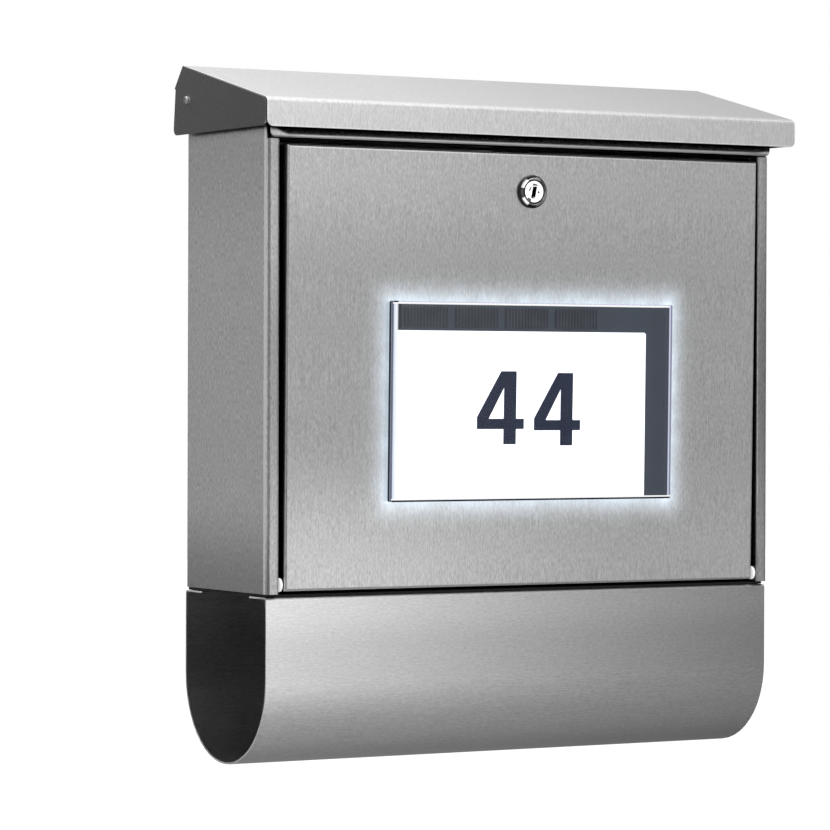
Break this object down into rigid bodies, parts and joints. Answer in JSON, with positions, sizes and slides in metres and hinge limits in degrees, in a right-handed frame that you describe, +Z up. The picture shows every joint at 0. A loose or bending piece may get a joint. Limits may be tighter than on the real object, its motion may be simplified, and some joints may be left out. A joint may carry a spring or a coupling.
{
  "type": "wall mailbox",
  "caption": "Wall mailbox of brushed steel with a lifting roof lid, a locking drop-down door with a lit house-number window, and a newspaper holder tube underneath.",
  "frame": {"origin": "on the wall plane, in the middle of the back panel's rear face", "axes": "+Z up, +Y into the wall, so the front faces -Y, and +X to the right of someone who stands in front of the box"},
  "size_m": [0.392, 0.1262, 0.4346],
  "materials": {
    "brushed_vertical": "vertical brushed grain",
    "brushed_lid": "vertical brushed grain",
    "brushed_horizontal": "horizontal brushed grain",
    "inner_steel": "mill finish sheet",
    "chrome_lock": "polished chrome plate",
    "zinc_fastener": "bright zinc plate",
    "white_nylon": "satin nylon",
    "black_rubber": "matte rubber",
    "clear_acrylic": "clear polished acrylic",
    "lit_panel": "opal diffuser, lit from behind",
    "window_mask": "dark printed film",
    "solar_cell": "dark silicon cells with fine fingers",
    "number_film": "dark blue film",
    "lamp_plastic": "fine moulded texture",
    "circuit_board": "green solder mask",
    "battery_sleeve": "shrink sleeve"
  },
  "bodies": {
    "casing": {"back_panel": "inner_steel", "floor_panel": "inner_steel", "front_rail": "brushed_vertical", "hinge_bush_left": "white_nylon", "hinge_bush_right": "white_nylon", "holder_gasket": "black_rubber", "holder_nut_front_left": "zinc_fastener", "holder_nut_front_right": "zinc_fastener", "holder_nut_rear_left": "zinc_fastener", "holder_nut_rear_right": "zinc_fastener", "holder_screw_front_left": "zinc_fastener", "holder_screw_front_right": "zinc_fastener", "holder_screw_rear_left": "zinc_fastener", "holder_screw_rear_right": "zinc_fastener", "left_side_panel": "brushed_vertical", "letter_guard": "inner_steel", "lid_bumper_left": "black_rubber", "lid_bumper_right": "black_rubber", "newspaper_holder": "brushed_horizontal", "right_side_panel": "brushed_vertical", "top_plate": "inner_steel"},
    "door": {"battery_1": "battery_sleeve", "battery_2": "battery_sleeve", "battery_cover": "lamp_plastic", "control_board": "circuit_board", "door_panel": "brushed_vertical", "door_pivot_pin_left": "zinc_fastener", "door_pivot_pin_right": "zinc_fastener", "door_stay_left": "inner_steel", "door_stay_right": "inner_steel", "lamp_housing": "lamp_plastic", "lamp_nut_1": "zinc_fastener", "lamp_nut_2": "zinc_fastener", "lamp_nut_3": "zinc_fastener", "lamp_nut_4": "zinc_fastener", "led_board": "circuit_board", "lock_housing": "chrome_lock", "lock_nut": "zinc_fastener", "number_panel": "lit_panel", "number_tens": "number_film", "number_units": "number_film", "solar_cell_1": "solar_cell", "solar_cell_2": "solar_cell", "solar_cell_3": "solar_cell", "solar_cell_4": "solar_cell", "solar_module": "window_mask", "window_cover": "clear_acrylic", "window_gasket": "black_rubber", "window_mask": "window_mask"},
    "lid": {"lid_pivot_pin_left": "zinc_fastener", "lid_pivot_pin_right": "zinc_fastener", "lid_shell": "brushed_lid", "lid_spacer_left": "white_nylon", "lid_spacer_right": "white_nylon"},
    "lock": {"cam_screw": "zinc_fastener", "lock_cam": "zinc_fastener", "lock_core": "chrome_lock"},
    "switch": {"power_switch": "black_rubber"}
  },
  "joints": [
    {"name": "lid_hinge", "type": "hinge", "parent": "casing", "child": "lid", "pos_m": [0, -0.0185, 0.1747], "axis": [-1, 0, 0], "range_deg": [0, 40]},
    {"name": "door_hinge", "type": "hinge", "parent": "casing", "child": "door", "pos_m": [0, -0.1055, -0.1248], "axis": [1, 0, 0], "range_deg": [-0.9, 80]},
    {"name": "lock_turn", "type": "hinge", "parent": "door", "child": "lock", "pos_m": [0.0005, -0.11353, 0.119], "axis": [0, -0.9999, -0.0157], "range_deg": [0, 90]},
    {"name": "switch_slide", "type": "slide", "parent": "door", "child": "switch", "axis": [1, 0, 0], "range_m": [0, 0.003]}
  ]
}
